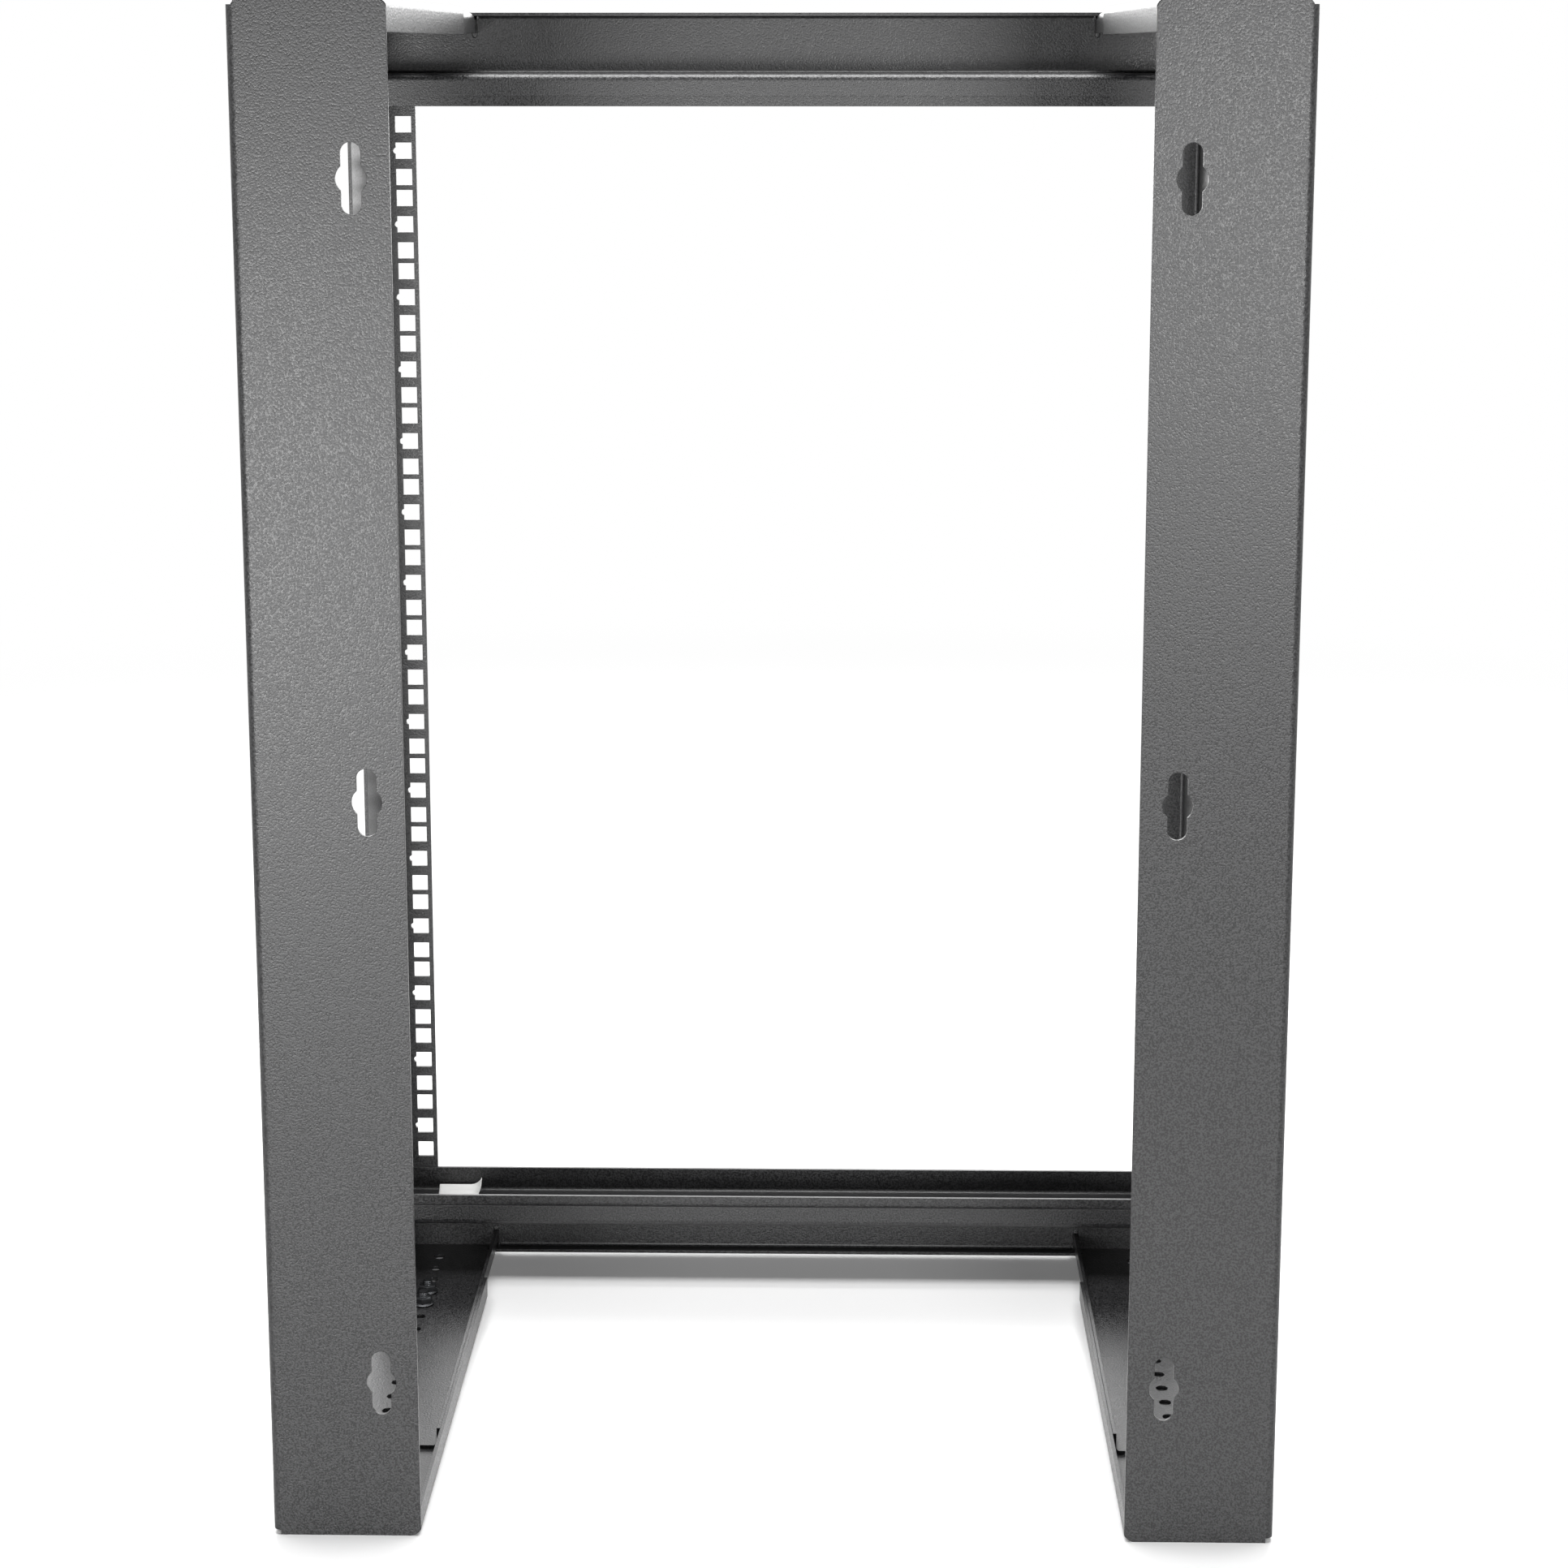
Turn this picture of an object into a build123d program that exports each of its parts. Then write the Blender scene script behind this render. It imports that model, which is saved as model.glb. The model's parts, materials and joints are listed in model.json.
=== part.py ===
from build123d import *
import os

# Adjustable wall rack for 19 inch equipment, open on all sides.
# The origin is on the floor under the middle of the rack. +Z is up, +Y is the wall side,
# -Y is the equipment side, and left and right are seen from the equipment side.

# Standard sizes of 19 inch equipment
unit_height = 44.45
unit_count = 15
unit_hole_share = (1 / 7, 1 / 2, 6 / 7)
hole_column_spacing = 465.1
hole_edge_distance = 7.55
wall_slot_column_spacing = 406.4

# Overall sizes, with the depth as it is set at rest
end_margin = 62.4
height = unit_count * unit_height + 2 * end_margin
depth = 395.5

# Sheet steel
sheet = 2.0
bend_inner_radius = 2.0
bend_middle_radius = bend_inner_radius + sheet / 2
bend_outer_radius = bend_inner_radius + sheet
slide_gap = 0.3
cut_overrun = 5.0

# Wall posts
wall_slot_edge_distance = 18.9
post_web_depth = 60.0
post_corner_radius = 5.5
post_relief_width = 4.0
post_relief_height = 2.6
post_web_corner_radius = 8.0
wall_slot_length = 35.0
wall_slot_width = 10.0
wall_slot_middle_diameter = 15.5
wall_slot_end_inset = 85.3

# Arms, the rear pair of each corner fixed to a post and the front one sliding inside it
rear_arm_lip_height = 15.6
rear_arm_tip_length = 15.0
front_arm_lip_height = 14.5
arm_corner_radius = 4.0
arm_hole_diameter = 7.0
arm_hole_pitch = 19.05
arm_hole_count = 14
arm_hole_front_inset = 24.85
arm_hole_rear_inset = 25.0

# Lock nuts, on studs that stand in the tips of the rear arms
lock_hole_numbers = (3, 4)
lock_stud_inset = 11.5
stud_diameter = 6.0
stud_height = 8.4
stud_chamfer = 0.8
nut_across_flats = 10.0
nut_height = 5.0
nut_flange_diameter = 13.0
nut_flange_thickness = 1.2

# Front rails
rail_flange_depth = 90.0
rail_face_width = 27.7
rail_side_inset = 5.0
rail_hole_side = 9.8
pip_radius = 1.9
pip_inset = 0.4

# Crossbars
crossbar_flange_depth = 9.2
crossbar_flange_overlap = 5.0
crossbar_shelf_height = 40.0
crossbar_shelf_depth = 53.7
crossbar_lip_height = 11.0
crossbar_notch_clearance = 0.5
crossbar_notch_width = 3.2
crossbar_notch_height = 17.1
crossbar_relief_radius = 7.2
crossbar_tab_length = 45.0
crossbar_tab_root_length = 20.0
crossbar_tab_bottom = 11.0
crossbar_tab_shelf_clearance = 6.5
crossbar_tab_radius = 5.0
flange_clearance = 1.0
lip_clearance = 2.5

# Channels, the troughs that close the crossbars
channel_wall_height = 17.0

# Corner bolts, through each crossbar's tab and its rail
corner_bolt_diameter = 6.0
corner_bolt_hole_diameter = 6.6
corner_bolt_head_diameter = 12.0
corner_bolt_head_height = 3.0
corner_bolt_head_chamfer = 1.0
corner_bolt_insets = (12.0, 32.0)

# Places across the width, worked out from the middle
clear_opening = hole_column_spacing - 2 * hole_edge_distance
rail_inner_x = clear_opening / 2
rail_outer_x = rail_inner_x + rail_face_width
rail_hole_x = hole_column_spacing / 2
front_arm_outer_x = rail_outer_x + rail_side_inset
rear_arm_outer_x = front_arm_outer_x + slide_gap + sheet
half_width = rear_arm_outer_x + sheet
slot_x = wall_slot_column_spacing / 2
post_inner_x = slot_x - wall_slot_edge_distance
rear_arm_inner_x = post_inner_x
front_arm_inner_x = rear_arm_inner_x + sheet + slide_gap
arm_middle_x = (rear_arm_inner_x + rear_arm_outer_x) / 2
crossbar_half_length = rail_outer_x - sheet - bend_inner_radius
crossbar_flange_half_length = front_arm_inner_x + crossbar_flange_overlap
crossbar_notch_start = front_arm_inner_x - crossbar_notch_clearance
crossbar_notch_end = crossbar_notch_start + crossbar_notch_width

# Places from front to back
wall_y = depth / 2
front_y = -depth / 2
last_arm_hole_inset = arm_hole_front_inset + (arm_hole_count - 1) * arm_hole_pitch
front_arm_length = last_arm_hole_inset + arm_hole_rear_inset
rear_arm_tip_y = front_y + arm_hole_front_inset + lock_hole_numbers[0] * arm_hole_pitch - lock_stud_inset
rear_arm_length = wall_y - sheet - rear_arm_tip_length - rear_arm_tip_y
web_front_y = front_y + sheet
flange_rear_y = web_front_y + crossbar_flange_depth
shelf_end_y = web_front_y + crossbar_shelf_depth
channel_rear_y = shelf_end_y - sheet - slide_gap

# Heights
slot_heights = (wall_slot_end_inset, height / 2, height - wall_slot_end_inset)
front_plate_bottom = sheet + slide_gap
front_plate_top = front_plate_bottom + sheet
relief_top = front_plate_bottom + bend_outer_radius
crossbar_tab_top = crossbar_shelf_height - crossbar_tab_shelf_clearance
mid_height_plane = Plane.XY.offset(height / 2)


def half_sheet_inside(value, direction):
    """Moves an outer face to the sheet's middle line."""
    return value + direction * sheet / 2


def arm_hole_places(numbers):
    """Places of the adjusting holes, counted from the hole nearest the front."""
    return [
        (arm_middle_x, front_y + arm_hole_front_inset + number * arm_hole_pitch)
        for number in numbers
    ]


def rail_hole_heights():
    """Heights of the square holes, and of the middle one of every unit."""
    bottoms = [end_margin + unit * unit_height for unit in range(unit_count)]
    every_height = [bottom + share * unit_height for bottom in bottoms for share in unit_hole_share]
    middle_heights = [bottom + unit_hole_share[1] * unit_height for bottom in bottoms]
    return every_height, middle_heights


def make_post():
    """Wall post: a face with three double keyholes and a web bent forwards on its outer side."""
    with BuildPart() as post:
        with BuildSketch(Plane.XY):
            with BuildLine():
                FilletPolyline(
                    (post_inner_x, half_sheet_inside(wall_y, -1)),
                    (half_sheet_inside(half_width, -1), half_sheet_inside(wall_y, -1)),
                    (half_sheet_inside(half_width, -1), wall_y - post_web_depth),
                    radius=bend_middle_radius,
                )
            trace(line_width=sheet)
        extrude(amount=height)

        with BuildSketch(Plane.XZ.offset(-wall_y)):
            with Locations(*[(slot_x, z) for z in slot_heights]):
                SlotOverall(wall_slot_length, wall_slot_width, rotation=90)
                Circle(wall_slot_middle_diameter / 2)
        extrude(amount=sheet + cut_overrun, both=True, mode=Mode.SUBTRACT)

        with BuildSketch(Plane.XZ.offset(-wall_y)):
            with Locations((half_width, 0), (half_width, height)):
                Rectangle(2 * post_relief_width, 2 * post_relief_height)
        extrude(amount=post_web_depth + cut_overrun, both=True, mode=Mode.SUBTRACT)

        inner_corners = post.edges().filter_by(Axis.Y).group_by(Axis.X)[0]
        fillet(inner_corners, radius=post_corner_radius)
        web_corners = post.edges().filter_by(Axis.X).group_by(Axis.Y)[0]
        fillet(web_corners, radius=post_web_corner_radius)
    return post.part


def make_rear_arm():
    """Lower right rear arm: a flat channel along the floor, welded inside the post."""
    with BuildPart() as arm:
        with BuildSketch(Plane.XZ.offset(sheet - wall_y)):
            with BuildLine():
                FilletPolyline(
                    (half_sheet_inside(rear_arm_inner_x, 1), rear_arm_lip_height),
                    (half_sheet_inside(rear_arm_inner_x, 1), sheet / 2),
                    (half_sheet_inside(rear_arm_outer_x, -1), sheet / 2),
                    (half_sheet_inside(rear_arm_outer_x, -1), rear_arm_lip_height),
                    radius=bend_middle_radius,
                )
            trace(line_width=sheet)
        extrude(amount=rear_arm_length)

        # Flat tip, past the ends of the lips
        with BuildSketch(Plane.XY):
            with Locations((arm_middle_x, rear_arm_tip_y)):
                Rectangle(
                    rear_arm_outer_x - rear_arm_inner_x - 2 * bend_outer_radius,
                    rear_arm_tip_length,
                    align=(Align.CENTER, Align.MIN),
                )
        extrude(amount=sheet)

        # Relief where the outer lip meets the bend of the post
        with BuildSketch(Plane.XY):
            with Locations((rear_arm_outer_x, wall_y - sheet)):
                Rectangle(2 * bend_inner_radius, 2 * bend_inner_radius)
        extrude(amount=rear_arm_lip_height, mode=Mode.SUBTRACT)

        tip_corners = arm.edges().filter_by(Axis.Z).group_by(Axis.Y)[0]
        fillet(tip_corners, radius=arm_corner_radius)
    return arm.part


def make_front_arm():
    """Lower right front arm: it slides inside the rear arm and carries the adjusting holes."""
    with BuildPart() as arm:
        with BuildSketch(Plane.XZ.offset(-front_y)):
            with BuildLine():
                FilletPolyline(
                    (half_sheet_inside(front_arm_inner_x, 1), front_arm_lip_height),
                    (half_sheet_inside(front_arm_inner_x, 1), half_sheet_inside(front_plate_bottom, 1)),
                    (half_sheet_inside(front_arm_outer_x, -1), half_sheet_inside(front_plate_bottom, 1)),
                    (half_sheet_inside(front_arm_outer_x, -1), front_arm_lip_height),
                    radius=bend_middle_radius,
                )
            trace(line_width=sheet)
        extrude(amount=-front_arm_length)

        with BuildSketch(Plane.XY.offset(front_plate_bottom)):
            with Locations(*arm_hole_places(range(arm_hole_count))):
                Circle(arm_hole_diameter / 2)
        extrude(amount=sheet, mode=Mode.SUBTRACT)

        # Front inner corner, cut away round the end of the crossbar's foot flange
        with BuildSketch(Plane.XY.offset(front_plate_bottom)):
            with Locations((front_arm_inner_x, front_y)):
                Rectangle(
                    2 * (crossbar_flange_overlap + flange_clearance),
                    2 * (sheet + crossbar_flange_depth + flange_clearance),
                )
        extrude(amount=sheet + lip_clearance, mode=Mode.SUBTRACT)
    return arm.part


def make_lock_nuts():
    """Lower right lock nuts: flanged hexagon nuts with the stud's end standing out of them."""
    with BuildPart() as nuts:
        with BuildSketch(Plane.XY.offset(front_plate_top + slide_gap)):
            with Locations(*arm_hole_places(lock_hole_numbers)):
                Circle(nut_flange_diameter / 2)
        extrude(amount=nut_flange_thickness)

        with BuildSketch(Plane.XY.offset(front_plate_top + slide_gap + nut_flange_thickness)):
            with Locations(*arm_hole_places(lock_hole_numbers)):
                RegularPolygon(nut_across_flats / 2, side_count=6, major_radius=False)
        extrude(amount=nut_height - nut_flange_thickness)

        with BuildSketch(Plane.XY.offset(front_plate_top + slide_gap + nut_height)):
            with Locations(*arm_hole_places(lock_hole_numbers)):
                Circle(stud_diameter / 2)
        extrude(amount=stud_height - nut_height)
        stud_ends = nuts.edges().filter_by(GeomType.CIRCLE).group_by(Axis.Z)[-1]
        chamfer(stud_ends, length=stud_chamfer)
    return nuts.part


def make_rail():
    """Right front rail: an angle with three square holes to the unit, each middle one notched."""
    every_height, middle_heights = rail_hole_heights()
    with BuildPart() as rail:
        with BuildSketch(Plane.XY.offset(front_plate_top)):
            with BuildLine():
                FilletPolyline(
                    (rail_inner_x, half_sheet_inside(front_y, 1)),
                    (half_sheet_inside(rail_outer_x, -1), half_sheet_inside(front_y, 1)),
                    (half_sheet_inside(rail_outer_x, -1), front_y + rail_flange_depth),
                    radius=bend_middle_radius,
                )
            trace(line_width=sheet)
        extrude(amount=height - 2 * front_plate_top)

        with BuildSketch(Plane.XZ.offset(-front_y)):
            with Locations(*[(rail_hole_x, z) for z in every_height]):
                Rectangle(rail_hole_side, rail_hole_side)
            with Locations(*[(rail_hole_x + rail_hole_side / 2 - pip_inset, z) for z in middle_heights]):
                Circle(pip_radius)
        extrude(amount=sheet + cut_overrun, both=True, mode=Mode.SUBTRACT)

        with BuildSketch(Plane.YZ.offset(rail_outer_x)):
            with Locations(*corner_bolt_places()):
                Circle(corner_bolt_hole_diameter / 2)
        extrude(amount=sheet + cut_overrun, both=True, mode=Mode.SUBTRACT)
    return rail.part


def corner_bolt_places():
    """Places of the corner bolts on a rail's side, at both of its ends, as (y, z)."""
    tab_middle = (crossbar_tab_bottom + crossbar_tab_top) / 2
    return [
        (web_front_y + sheet + inset, z)
        for inset in corner_bolt_insets
        for z in (tab_middle, height - tab_middle)
    ]


def make_crossbar():
    """Lower crossbar: foot flange, web, shelf and lip, with tabs bent back along the rails."""
    with BuildPart() as crossbar:
        with BuildSketch(Plane.YZ):
            with BuildLine():
                FilletPolyline(
                    (flange_rear_y, half_sheet_inside(front_plate_bottom, 1)),
                    (half_sheet_inside(web_front_y, 1), half_sheet_inside(front_plate_bottom, 1)),
                    (half_sheet_inside(web_front_y, 1), half_sheet_inside(crossbar_shelf_height, -1)),
                    (half_sheet_inside(shelf_end_y, -1), half_sheet_inside(crossbar_shelf_height, -1)),
                    (half_sheet_inside(shelf_end_y, -1), crossbar_shelf_height + crossbar_lip_height),
                    radius=bend_middle_radius,
                )
            trace(line_width=sheet)
        extrude(amount=crossbar_half_length, both=True)

        # The foot flange ends at each front arm, relieved round the arm's inner corner.
        with BuildSketch(Plane.XY):
            cut_length = crossbar_half_length - crossbar_flange_half_length + cut_overrun
            for side in (-1, 1):
                with Locations((side * crossbar_flange_half_length, web_front_y)):
                    Circle(crossbar_relief_radius)
                with Locations((side * (crossbar_flange_half_length + cut_length / 2), web_front_y)):
                    Rectangle(cut_length, 2 * (crossbar_flange_depth + cut_overrun))
        extrude(amount=relief_top, mode=Mode.SUBTRACT)

        # Past each notch the web stands on the front arm's plate.
        with BuildSketch(Plane.XY.offset(front_plate_top)):
            foot_length = crossbar_half_length - crossbar_notch_end
            foot_middle = crossbar_notch_end + foot_length / 2
            for side in (-1, 1):
                with Locations((side * foot_middle, half_sheet_inside(web_front_y, 1))):
                    Rectangle(foot_length, sheet)
        extrude(amount=relief_top - front_plate_top)

        # Notch in the web for each front arm's inner lip
        with BuildSketch(Plane.XZ.offset(-web_front_y)):
            for side in (-1, 1):
                notch_middle = side * (crossbar_notch_start + crossbar_notch_width / 2)
                with Locations((notch_middle, 0)):
                    SlotOverall(2 * crossbar_notch_height, crossbar_notch_width, rotation=90)
        extrude(amount=-crossbar_relief_radius, mode=Mode.SUBTRACT)

        # Tabs, bent back from the ends of the web
        with BuildSketch(Plane.XY.offset(crossbar_tab_bottom)):
            for side in (-1, 1):
                tab_x = side * half_sheet_inside(rail_outer_x - sheet, -1)
                with BuildLine():
                    FilletPolyline(
                        (tab_x - side * crossbar_tab_root_length, half_sheet_inside(web_front_y, 1)),
                        (tab_x, half_sheet_inside(web_front_y, 1)),
                        (tab_x, web_front_y + crossbar_tab_length),
                        radius=bend_middle_radius,
                    )
                trace(line_width=sheet)
        extrude(amount=crossbar_tab_top - crossbar_tab_bottom)
        tab_corners = (
            crossbar.edges()
            .filter_by(Axis.X)
            .filter_by_position(
                Axis.Y,
                web_front_y + crossbar_tab_length - sheet / 2,
                web_front_y + crossbar_tab_length + sheet / 2,
            )
        )
        fillet(tab_corners, radius=crossbar_tab_radius)

        with BuildSketch(Plane.YZ):
            with Locations(*corner_bolt_places()):
                Circle(corner_bolt_hole_diameter / 2)
        extrude(amount=half_width, both=True, mode=Mode.SUBTRACT)
    return crossbar.part


def make_channel():
    """Lower channel: an open trough on the crossbar's shelf, between its lip and the rails."""
    wall_top = crossbar_shelf_height + channel_wall_height
    with BuildPart() as channel:
        with BuildSketch(Plane.YZ):
            with BuildLine():
                FilletPolyline(
                    (half_sheet_inside(web_front_y, 1), wall_top),
                    (half_sheet_inside(web_front_y, 1), half_sheet_inside(crossbar_shelf_height, 1)),
                    (half_sheet_inside(channel_rear_y, -1), half_sheet_inside(crossbar_shelf_height, 1)),
                    (half_sheet_inside(channel_rear_y, -1), wall_top),
                    radius=bend_middle_radius,
                )
            trace(line_width=sheet)
        extrude(amount=crossbar_half_length, both=True)
    return channel.part


def make_corner_bolts():
    """Lower right corner bolts: round heads outside the rail and hexagon nuts inside the tab."""
    places = [place for place in corner_bolt_places() if place[1] < height / 2]
    with BuildPart() as bolts:
        with BuildSketch(Plane.YZ.offset(rail_outer_x)):
            with Locations(*places):
                Circle(corner_bolt_head_diameter / 2)
        extrude(amount=corner_bolt_head_height)
        rims = bolts.edges().filter_by(GeomType.CIRCLE).group_by(Axis.X)[-1]
        chamfer(rims, length=corner_bolt_head_chamfer)

        with BuildSketch(Plane.YZ.offset(rail_outer_x - 2 * sheet - nut_height - stud_chamfer)):
            with Locations(*places):
                Circle(corner_bolt_diameter / 2)
        extrude(amount=2 * sheet + nut_height + stud_chamfer)

        with BuildSketch(Plane.YZ.offset(rail_outer_x - 2 * sheet - nut_height)):
            with Locations(*places):
                RegularPolygon(nut_across_flats / 2, side_count=6, major_radius=False)
        extrude(amount=nut_height)
    return bolts.part


def write_piece(piece, name):
    """Labels one piece and writes it to its own file."""
    piece.label = name
    export_step(piece, f"parts/{name}.step")


def write_corners(name, piece):
    """Writes a lower right piece and its mirror images at the other three corners."""
    upper_piece = mirror(piece, about=mid_height_plane)
    write_piece(piece, f"{name}_bottom_right")
    write_piece(upper_piece, f"{name}_top_right")
    write_piece(mirror(piece, about=Plane.YZ), f"{name}_bottom_left")
    write_piece(mirror(upper_piece, about=Plane.YZ), f"{name}_top_left")


def write_sides(name, piece):
    """Writes a right piece and its mirror image."""
    write_piece(piece, f"{name}_right")
    write_piece(mirror(piece, about=Plane.YZ), f"{name}_left")


def write_levels(name, piece):
    """Writes a lower piece and its mirror image at the top."""
    write_piece(piece, f"{name}_bottom")
    write_piece(mirror(piece, about=mid_height_plane), f"{name}_top")


os.makedirs("parts", exist_ok=True)
write_sides("rear_post", make_post())
write_corners("rear_arm", make_rear_arm())
write_corners("lock_nuts", make_lock_nuts())
write_corners("front_arm", make_front_arm())
write_sides("front_rail", make_rail())
write_levels("crossbar", make_crossbar())
write_levels("channel", make_channel())
write_corners("corner_bolts", make_corner_bolts())
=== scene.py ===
import json
import math

import bmesh
import bpy
from mathutils import Matrix, Vector


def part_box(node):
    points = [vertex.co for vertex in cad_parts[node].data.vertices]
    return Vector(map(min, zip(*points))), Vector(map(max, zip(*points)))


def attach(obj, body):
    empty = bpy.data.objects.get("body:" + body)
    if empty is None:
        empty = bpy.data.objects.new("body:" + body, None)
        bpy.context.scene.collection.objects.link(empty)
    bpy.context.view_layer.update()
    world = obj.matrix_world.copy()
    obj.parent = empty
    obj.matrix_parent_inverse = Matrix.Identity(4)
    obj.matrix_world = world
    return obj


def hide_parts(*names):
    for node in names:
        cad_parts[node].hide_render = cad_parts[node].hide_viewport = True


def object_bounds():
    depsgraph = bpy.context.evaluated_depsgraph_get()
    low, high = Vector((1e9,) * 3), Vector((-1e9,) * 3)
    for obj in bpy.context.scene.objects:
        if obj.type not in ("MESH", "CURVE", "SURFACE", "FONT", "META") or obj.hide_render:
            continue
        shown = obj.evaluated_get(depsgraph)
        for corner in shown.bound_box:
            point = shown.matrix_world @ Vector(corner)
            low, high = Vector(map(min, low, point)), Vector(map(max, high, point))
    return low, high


# Open wall rack, dressed for its render. Lengths are in metres, in the frame's own axes:
# +Z is up, +Y is the wall side, and the floor is at zero.
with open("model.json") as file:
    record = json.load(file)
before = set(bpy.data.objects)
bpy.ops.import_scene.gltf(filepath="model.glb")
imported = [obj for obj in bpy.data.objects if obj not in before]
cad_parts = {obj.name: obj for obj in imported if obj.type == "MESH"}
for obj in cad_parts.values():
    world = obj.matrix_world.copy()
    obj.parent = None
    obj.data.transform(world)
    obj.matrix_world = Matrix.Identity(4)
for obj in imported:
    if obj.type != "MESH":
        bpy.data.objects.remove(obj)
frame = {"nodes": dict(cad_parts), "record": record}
cad_low, cad_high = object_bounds()
mm = 0.001

# Camera, on the wall side of the rack. Its shift is kept to about a third of the photograph's,
# because the views from other sides keep it too.
camera_x = -34.5 * mm
camera_distance = 1505.5 * mm
camera_height = 768.1 * mm
camera_pitch_deg = -10.6
camera_heading_deg = 181.07
camera_lens_mm = 71.0
camera_shift = -0.1

# Softboxes: width and height or depth, centre, the point each one faces, and radiant power
softboxes = {
    "overhead_softbox": {
        "size": (2.2, 0.9), "centre": (0.0, 0.0, 2.2), "target": (0.0, 0.0, 0.0), "watts": 90.0,
    },
    "left_softbox": {
        "size": (0.6, 0.48), "centre": (0.7, 2.3, 0.25), "target": (0.3, 0.2, 0.38), "watts": 26.0,
    },
    "right_softbox": {
        "size": (0.45, 0.5), "centre": (-0.6, 2.3, 0.6), "target": (-0.2, 0.2, 0.6), "watts": 20.0,
    },
    "rear_softbox": {
        "size": (2.4, 1.4), "centre": (0.0, -2.0, 1.2), "target": (0.0, 0.0, 0.6), "watts": 38.0,
    },
}

# Finishes, as sRGB hex
powder_dark_hex = "#0c0c0d"
powder_light_hex = "#303031"
zinc_hex = "#4a4b4d"
paper_hex = "#f1f1ef"
floor_hex = "#f4f4f4"
room_hex = "#ffffff"

# Sheet steel of the posts, arms, rails and crossbars
sheet = 2.0 * mm

# Lock studs and nuts, placed by the boxes of the plain lock nuts. The shares of the pitch say where a
# thread starts to rise, reaches its crest and leaves it.
stud_diameter = 6.0 * mm
thread_pitch = 1.0 * mm
thread_depth = 0.35 * mm
thread_pitch_shares = (0.1, 0.45, 0.65)
nut_across_flats = 10.0 * mm
nut_height = 5.0 * mm
nut_flange_diameter = 13.0 * mm
nut_flange_thickness = 1.2 * mm
nut_flange_chamfer = 0.3 * mm
nut_flange_rim_top = 0.7 * mm
nut_flange_overlap = 0.3 * mm
nut_chamfer = 0.6 * mm
nut_bevel_segments = 2
ring_segments = 36

# Welds that close each notch of a crossbar's web round the lip of its arm: a bead up the notch and one
# along the web's foot. A run in the relief behind them is painted shade: it closes the relief so it shows
# dark.
notch_width = 3.2 * mm
notch_height = 17.1 * mm
notch_clearance = 0.5 * mm
weld_thickness = 0.9 * mm
weld_foot_overlap = 2.0 * mm
weld_foot_length = 9.8 * mm
weld_foot_height = 4.3 * mm
relief_shade_run_height = 1.7 * mm
relief_shade_run_depth = 9.0 * mm
weld_rounding = 0.25 * mm
weld_rounding_segments = 3
weld_ring_segments = 24

# Paper label, left in the lower channel
label_length = 29.0 * mm
label_width = 40.0 * mm
label_thickness = 0.15 * mm
label_curl_radius = 8.0 * mm
label_curl_length = 9.0 * mm
label_lift = 0.3 * mm
label_rail_gap = 1.5 * mm
label_edge_gap = 4.0 * mm
label_edge_rise_length = 6.0 * mm
label_edge_rise_radius = 4.5 * mm
label_grid = (24, 16)

# Faces that meet at more than this angle keep a sharp edge
sharp_angle_deg = 35.0


def linear_colour(hex_colour):
    """An sRGB hex colour as linear RGBA."""
    channels = [int(hex_colour[start:start + 2], 16) / 255 for start in (1, 3, 5)]
    linear = [c / 12.92 if c <= 0.04045 else ((c + 0.055) / 1.055) ** 2.4 for c in channels]
    return (*linear, 1.0)


def add_node(tree, kind, settings=None, links=None):
    """Adds a node, sets its sockets or attributes by name, and links sockets of other nodes into it."""
    node = tree.nodes.new(kind)
    for name, value in (settings or {}).items():
        if isinstance(name, int) or name in node.inputs:
            node.inputs[name].default_value = value
        else:
            setattr(node, name, value)
    for name, socket in (links or {}).items():
        tree.links.new(socket, node.inputs[name])
    return node


def new_material(name):
    """An empty node material, and its tree."""
    material = bpy.data.materials.new(name)
    material.use_nodes = True
    material.node_tree.nodes.clear()
    return material, material.node_tree


def make_powder_coat():
    """Fine textured black polyester powder coat, baked on steel sheet: nearly black, with a soft
    grey sheen that breaks up over small hard bumps, and lighter where an edge turns to the light.
    Its real grains are about 0.4 mm across, too fine to show here, so they are drawn larger."""
    grain_size = 1.0 * mm
    bump_height = 0.16 * mm
    edge_rounding = 0.5 * mm
    material, tree = new_material("textured_powder_coat")
    place = add_node(tree, "ShaderNodeTexCoord")
    grain = add_node(
        tree, "ShaderNodeTexNoise",
        {"Scale": 1 / grain_size, "Detail": 1.0},
        {"Vector": place.outputs["Object"]},
    )
    speckle = add_node(
        tree, "ShaderNodeMapRange", {"From Min": 0.38, "From Max": 0.62},
        {"Value": grain.outputs["Fac"]},
    )
    tint = add_node(
        tree, "ShaderNodeMixRGB",
        {"Color1": linear_colour(powder_dark_hex), "Color2": linear_colour(powder_light_hex)},
        {"Fac": speckle.outputs["Result"]},
    )
    gloss = add_node(
        tree, "ShaderNodeMapRange", {"To Min": 0.3, "To Max": 0.44}, {"Value": speckle.outputs["Result"]},
    )
    edge = add_node(tree, "ShaderNodeBevel", {"samples": 4, "Radius": edge_rounding})
    bumps = add_node(
        tree, "ShaderNodeBump", {"Strength": 1.0, "Distance": bump_height},
        {"Height": grain.outputs["Fac"], "Normal": edge.outputs["Normal"]},
    )
    coat = add_node(
        tree, "ShaderNodeBsdfPrincipled", {"IOR": 1.5},
        {
            "Base Color": tint.outputs["Color"], "Roughness": gloss.outputs["Result"],
            "Normal": bumps.outputs["Normal"],
        },
    )
    add_node(tree, "ShaderNodeOutputMaterial", links={"Surface": coat.outputs["BSDF"]})
    return material


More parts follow.
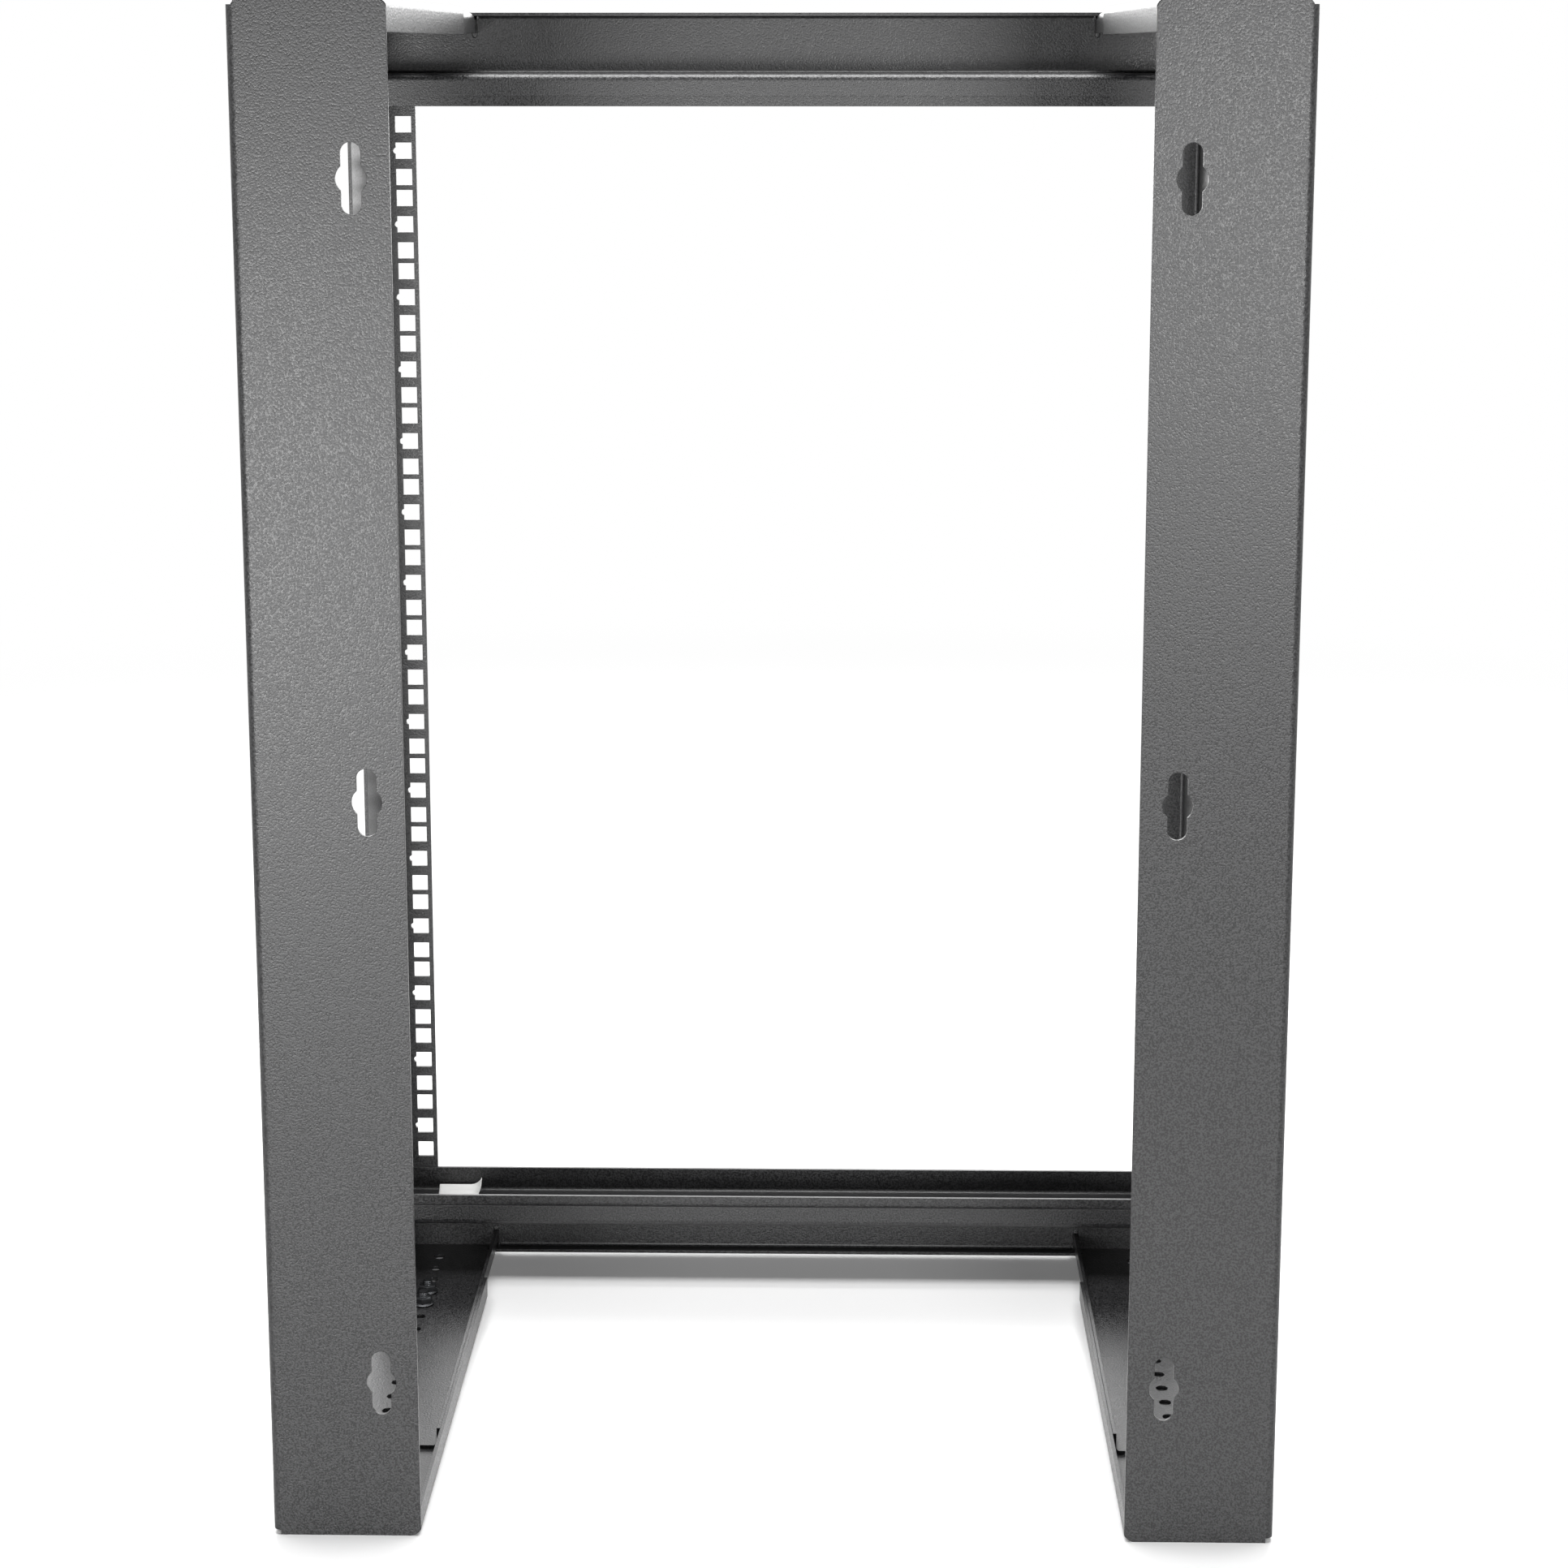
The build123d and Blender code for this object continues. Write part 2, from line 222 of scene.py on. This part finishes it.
def make_black_zinc():
    """Black zinc plating on turned and cold headed steel: dark, with small sharp glints."""
    blotch_size = 2.0 * mm
    material, tree = new_material("black_zinc_plating")
    place = add_node(tree, "ShaderNodeTexCoord")
    blotches = add_node(
        tree, "ShaderNodeTexNoise", {"Scale": 1 / blotch_size, "Detail": 3.0},
        {"Vector": place.outputs["Object"]},
    )
    gloss = add_node(
        tree, "ShaderNodeMapRange", {"To Min": 0.22, "To Max": 0.42},
        {"Value": blotches.outputs["Fac"]},
    )
    plating = add_node(
        tree, "ShaderNodeBsdfPrincipled", {"Base Color": linear_colour(zinc_hex), "Metallic": 0.9},
        {"Roughness": gloss.outputs["Result"]},
    )
    add_node(tree, "ShaderNodeOutputMaterial", links={"Surface": plating.outputs["BSDF"]})
    return material


def make_label_paper():
    """Coated sticker paper: clean matt white with faint fibres."""
    fibre_size = 0.6 * mm
    fibre_height = 0.03 * mm
    material, tree = new_material("sticker_paper")
    place = add_node(tree, "ShaderNodeTexCoord")
    fibres = add_node(
        tree, "ShaderNodeTexNoise", {"Scale": 1 / fibre_size, "Detail": 2.0},
        {"Vector": place.outputs["Object"]},
    )
    bumps = add_node(
        tree, "ShaderNodeBump", {"Strength": 0.2, "Distance": fibre_height},
        {"Height": fibres.outputs["Fac"]},
    )
    paper = add_node(
        tree, "ShaderNodeBsdfPrincipled", {"Base Color": linear_colour(paper_hex), "Roughness": 0.7},
        {"Normal": bumps.outputs["Normal"]},
    )
    add_node(tree, "ShaderNodeOutputMaterial", links={"Surface": paper.outputs["BSDF"]})
    return material


def add_seen_share(tree):
    """One for a ray that looks at a surface, straight or by a mirror or glass, and zero for the rest."""
    path = add_node(tree, "ShaderNodeLightPath")
    mirrored = add_node(
        tree, "ShaderNodeMath", {"operation": "MAXIMUM"},
        {0: path.outputs["Is Camera Ray"], 1: path.outputs["Is Glossy Ray"]},
    )
    seen = add_node(
        tree, "ShaderNodeMath", {"operation": "MAXIMUM"},
        {0: mirrored.outputs["Value"], 1: path.outputs["Is Transmission Ray"]},
    )
    return seen.outputs["Value"]


def make_table_top():
    """White satin laminate: soft shadows and faint reflections by the rack, white as the room far off."""
    near_share = 0.1
    near_reach = 0.5
    far_reach = 2.5
    material, tree = new_material("white_laminate")
    laminate = add_node(
        tree, "ShaderNodeBsdfPrincipled",
        {"Base Color": linear_colour(floor_hex), "Roughness": 0.35},
    )
    glow = add_node(tree, "ShaderNodeEmission", {"Color": linear_colour(room_hex), "Strength": 1.0})
    place = add_node(tree, "ShaderNodeTexCoord")
    reach = add_node(tree, "ShaderNodeVectorMath", {"operation": "LENGTH"}, {0: place.outputs["Object"]})
    room_share = add_node(
        tree, "ShaderNodeMapRange",
        {
            "interpolation_type": "SMOOTHSTEP", "From Min": near_reach, "From Max": far_reach,
            "To Min": near_share, "To Max": 1.0,
        },
        {"Value": reach.outputs["Value"]},
    )
    share = add_node(
        tree, "ShaderNodeMath", {"operation": "MULTIPLY"},
        {0: add_seen_share(tree), 1: room_share.outputs["Result"]},
    )
    surface = add_node(
        tree, "ShaderNodeMixShader",
        links={0: share.outputs["Value"], 1: laminate.outputs["BSDF"], 2: glow.outputs["Emission"]},
    )
    add_node(tree, "ShaderNodeOutputMaterial", links={"Surface": surface.outputs["Shader"]})
    return material


def paint_frame():
    """Gives every CAD node the finish of its material slot."""
    finishes = {"powder_coat": make_powder_coat(), "zinc": make_black_zinc()}
    for subpart in frame["record"]["subparts"]:
        node = frame["nodes"][subpart["node"]]
        node.data.materials.clear()
        node.data.materials.append(finishes[subpart["material_slot"]])
    return finishes


def add_object(name, data):
    """A new object, linked into the scene."""
    added = bpy.data.objects.new(name, data)
    bpy.context.scene.collection.objects.link(added)
    return added


def add_mesh(mesh, name, material):
    """Makes a bmesh an object of one material."""
    data = bpy.data.meshes.new(name)
    mesh.to_mesh(data)
    mesh.free()
    data.materials.append(material)
    return add_object(name, data)


def add_piece(mesh, name, material, body):
    """Makes a bmesh a piece of the rack that rides on a body."""
    bmesh.ops.recalc_face_normals(mesh, faces=mesh.faces)
    piece = add_mesh(mesh, name, material)
    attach(piece, body)
    return piece


def shade_smooth(piece):
    """Smooth shading, kept sharp at hard edges."""
    for polygon in piece.data.polygons:
        polygon.use_smooth = True
    piece.data.set_sharp_from_angle(angle=math.radians(sharp_angle_deg))


def take_in(mesh, part):
    """Moves the faces of one bmesh into another."""
    data = bpy.data.meshes.new("part")
    part.to_mesh(data)
    part.free()
    mesh.from_mesh(data)
    bpy.data.meshes.remove(data)


def spin_profile(mesh, points, centre):
    """Spins a profile of (radius, height) points round an upright axis into a closed ring."""
    vertices = [mesh.verts.new(centre + Vector((radius, 0, height))) for radius, height in points]
    edges = [mesh.edges.new(pair) for pair in zip(vertices, vertices[1:])]
    bmesh.ops.spin(
        mesh, geom=vertices + edges, cent=centre, axis=(0, 0, 1), angle=2 * math.pi,
        steps=ring_segments, use_merge=True,
    )


def add_threaded_stud(mesh, foot, height):
    """A stud with rolled threads and a short plain tip, standing on its foot."""
    crest = stud_diameter / 2
    core = crest - thread_depth
    rise_start, crest_start, crest_end = (share * thread_pitch for share in thread_pitch_shares)
    turns = round(height / thread_pitch) - 1
    profile = [(0, 0), (core, 0)]
    for turn in range(turns):
        start = turn * thread_pitch
        profile += [(core, start + rise_start), (crest, start + crest_start)]
        profile += [(crest, start + crest_end), (core, start + thread_pitch)]
    profile += [(core, height), (0, height)]
    spin_profile(mesh, profile, foot)


def add_flange_nut(mesh, seat):
    """A hexagon nut with chamfered corners on a round flange that rises towards it."""
    flange_radius = nut_flange_diameter / 2
    flange_top = nut_flange_thickness + nut_flange_overlap
    bore = stud_diameter / 2 - thread_depth
    corner_radius = nut_across_flats / 2 / math.cos(math.pi / 6)
    flange = [
        (bore, 0),
        (flange_radius - nut_flange_chamfer, 0),
        (flange_radius, nut_flange_chamfer),
        (flange_radius, nut_flange_rim_top),
        (corner_radius - nut_chamfer, flange_top),
        (bore, flange_top),
    ]
    spin_profile(mesh, flange + flange[:1], seat)

    hexagon = bmesh.new()
    bmesh.ops.create_cone(
        hexagon, cap_ends=True, segments=6, radius1=corner_radius, radius2=corner_radius,
        depth=nut_height - nut_flange_thickness,
    )
    middle = (nut_height + nut_flange_thickness) / 2
    bmesh.ops.translate(hexagon, verts=hexagon.verts, vec=seat + Vector((0, 0, middle)))
    top = [e for e in hexagon.edges if all(v.co.z > seat.z + middle for v in e.verts)]
    bmesh.ops.bevel(
        hexagon, geom=top, offset=nut_chamfer, segments=nut_bevel_segments, profile=0.5,
        affect="EDGES", material=-1,
    )
    take_in(mesh, hexagon)


def add_lock_nuts(corner, zinc):
    """The two lock studs and nuts of one corner, in place of its plain solids."""
    node = f"lock_nuts_{corner}"
    low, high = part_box(node)
    rear_low, rear_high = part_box(f"rear_arm_{corner}")
    upside_down = corner.startswith("top")
    plate_z = rear_high.z if upside_down else rear_low.z
    seat_gap = (rear_high.z - high.z) if upside_down else (low.z - rear_low.z)
    stud_height = seat_gap + high.z - low.z
    middle_x = (low.x + high.x) / 2
    inset = nut_flange_diameter / 2
    mesh = bmesh.new()
    for y in (low.y + inset, high.y - inset):
        add_threaded_stud(mesh, Vector((middle_x, y, 0)), stud_height)
        add_flange_nut(mesh, Vector((middle_x, y, seat_gap)))
    if upside_down:
        bmesh.ops.scale(mesh, verts=mesh.verts, vec=(1, 1, -1))
    bmesh.ops.translate(mesh, verts=mesh.verts, vec=(0, 0, plate_z))
    piece = add_piece(mesh, f"lock_studs_{corner}", zinc, "rear_frame")
    shade_smooth(piece)
    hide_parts(node)


def add_weld_bead(mesh, middle, length, height, thickness=weld_thickness):
    """A flat bead with round ends, raised towards the wall side from its middle."""
    radius = min(length, height) / 2
    stretch = Vector((length / 2 - radius, 0, height / 2 - radius))
    bead = bmesh.new()
    bmesh.ops.create_circle(bead, cap_ends=True, segments=weld_ring_segments, radius=radius)
    bmesh.ops.rotate(bead, verts=bead.verts, matrix=Matrix.Rotation(math.pi / 2, 3, "X"))
    for vertex in bead.verts:
        vertex.co += Vector((math.copysign(stretch.x, vertex.co.x), 0, math.copysign(stretch.z, vertex.co.z)))
    grown = bmesh.ops.extrude_face_region(bead, geom=bead.faces[:])
    front = [item for item in grown["geom"] if isinstance(item, bmesh.types.BMVert)]
    bmesh.ops.translate(bead, verts=front, vec=(0, thickness, 0))
    rims = [e for e in bead.edges if abs(e.verts[0].co.y - e.verts[1].co.y) < thickness / 2]
    bmesh.ops.bevel(
        bead, geom=rims, offset=weld_rounding, segments=weld_rounding_segments, profile=0.5,
        affect="EDGES", material=-1,
    )
    bmesh.ops.translate(bead, verts=bead.verts, vec=middle)
    take_in(mesh, bead)


def add_notch_weld_and_shade_run(level, side, coat):
    """The weld in one notch of a crossbar and along the foot of the web, with a run in the relief behind it
    that is painted shade.
    """
    side_sign = 1 if side == "right" else -1
    arm_low, arm_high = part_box(f"front_arm_{level}_right")
    bar_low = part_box(f"crossbar_{level}")[0]
    notch_start = arm_low.x - notch_clearance
    foot = arm_low.z if level == "bottom" else cad_high.z - arm_high.z
    notch_x = notch_start + notch_width / 2
    foot_x = notch_start - weld_foot_overlap + weld_foot_length / 2
    upright = Vector((notch_x, bar_low.y, (foot + notch_height) / 2))
    along = Vector((foot_x, bar_low.y, foot + weld_foot_height / 2))
    # The run fills the relief as painted shade, so no lit floor shows through it.
    relief_shade_run = Vector((foot_x, bar_low.y, foot + sheet / 2))
    mesh = bmesh.new()
    add_weld_bead(mesh, upright, notch_width, notch_height - foot)
    add_weld_bead(mesh, along, weld_foot_length, weld_foot_height)
    add_weld_bead(mesh, relief_shade_run, weld_foot_length, relief_shade_run_height, relief_shade_run_depth)
    if level == "top":
        bmesh.ops.scale(mesh, verts=mesh.verts, vec=(1, 1, -1))
        bmesh.ops.translate(mesh, verts=mesh.verts, vec=(0, 0, cad_high.z))
    bmesh.ops.scale(mesh, verts=mesh.verts, vec=(side_sign, 1, 1))
    weld_and_shade_run = add_piece(mesh, f"notch_weld_{level}_{side}", coat, "front_frame")
    shade_smooth(weld_and_shade_run)


def add_label():
    """A blank paper label that lies in the lower channel, with an end and an edge curling up."""
    channel_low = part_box("channel_bottom")[0]
    outer_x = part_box("front_rail_right")[0].x - label_rail_gap
    front_y = channel_low.y + label_edge_gap
    floor_z = channel_low.z + sheet + label_lift
    mesh = bmesh.new()
    bmesh.ops.create_grid(mesh, x_segments=label_grid[0], y_segments=label_grid[1], size=0.5)
    for vertex in mesh.verts:
        along = (vertex.co.x + 0.5) * label_length
        across = (vertex.co.y + 0.5) * label_width
        curled = max(0.0, along - (label_length - label_curl_length))
        angle = curled / label_curl_radius
        flat = along - curled + label_curl_radius * math.sin(angle)
        rise = label_curl_radius * (1 - math.cos(angle))
        edge_rise = max(0.0, label_edge_rise_length - across) ** 2 / (2 * label_edge_rise_radius)
        vertex.co = Vector((outer_x - flat, front_y + across, floor_z + rise + edge_rise))
    paper = add_piece(mesh, "paper_label", make_label_paper(), "front_frame")
    for polygon in paper.data.polygons:
        polygon.use_smooth = True
    thickness = paper.modifiers.new("thickness", "SOLIDIFY")
    thickness.thickness = label_thickness


def add_table():
    """The table top that the rack stands on."""
    table_width = 12.0
    mesh = bmesh.new()
    bmesh.ops.create_grid(mesh, x_segments=1, y_segments=1, size=table_width / 2)
    table = add_mesh(mesh, "table_top", make_table_top())


def add_softbox(name, size, centre, target, watts):
    """A rectangular area lamp that faces the rack."""
    lamp = bpy.data.lights.new(name, "AREA")
    lamp.shape = "RECTANGLE"
    lamp.size, lamp.size_y = size
    lamp.energy = watts
    softbox = add_object(name, lamp)
    softbox.location = centre
    softbox.rotation_euler = (Vector(target) - Vector(centre)).to_track_quat("-Z", "Y").to_euler()
    softbox.visible_camera = False


def light_room():
    """A white room to the camera and in gloss, and a dimmer even light on everything."""
    room_strength = 0.04
    world = bpy.data.worlds.new("studio_room")
    world.use_nodes = True
    tree = world.node_tree
    tree.nodes.clear()
    strength = add_node(
        tree, "ShaderNodeMapRange", {"To Min": room_strength, "To Max": 1.0},
        {"Value": add_seen_share(tree)},
    )
    room = add_node(
        tree, "ShaderNodeBackground", {"Color": linear_colour(room_hex)},
        {"Strength": strength.outputs["Result"]},
    )
    add_node(tree, "ShaderNodeOutputWorld", links={"Surface": room.outputs["Background"]})
    bpy.context.scene.world = world


def place_camera():
    """The photograph's viewpoint: in front of the wall side, near the height of the top."""
    lens = bpy.data.cameras.new("camera")
    lens.lens = camera_lens_mm
    lens.shift_y = camera_shift
    camera = add_object("camera", lens)
    camera.location = (camera_x, cad_high.y + camera_distance, camera_height)
    camera.rotation_euler = (math.radians(90 + camera_pitch_deg), 0, math.radians(camera_heading_deg))
    bpy.context.scene.camera = camera


bpy.context.scene.view_settings.view_transform = "Standard"
place_camera()
light_room()
for softbox_name, softbox in softboxes.items():
    add_softbox(softbox_name, **softbox)
add_table()
slot_finishes = paint_frame()
for rack_corner in ("bottom_left", "bottom_right", "top_left", "top_right"):
    add_lock_nuts(rack_corner, slot_finishes["zinc"])
for bar_level in ("bottom", "top"):
    for bar_side in ("left", "right"):
        add_notch_weld_and_shade_run(bar_level, bar_side, slot_finishes["powder_coat"])
add_label()
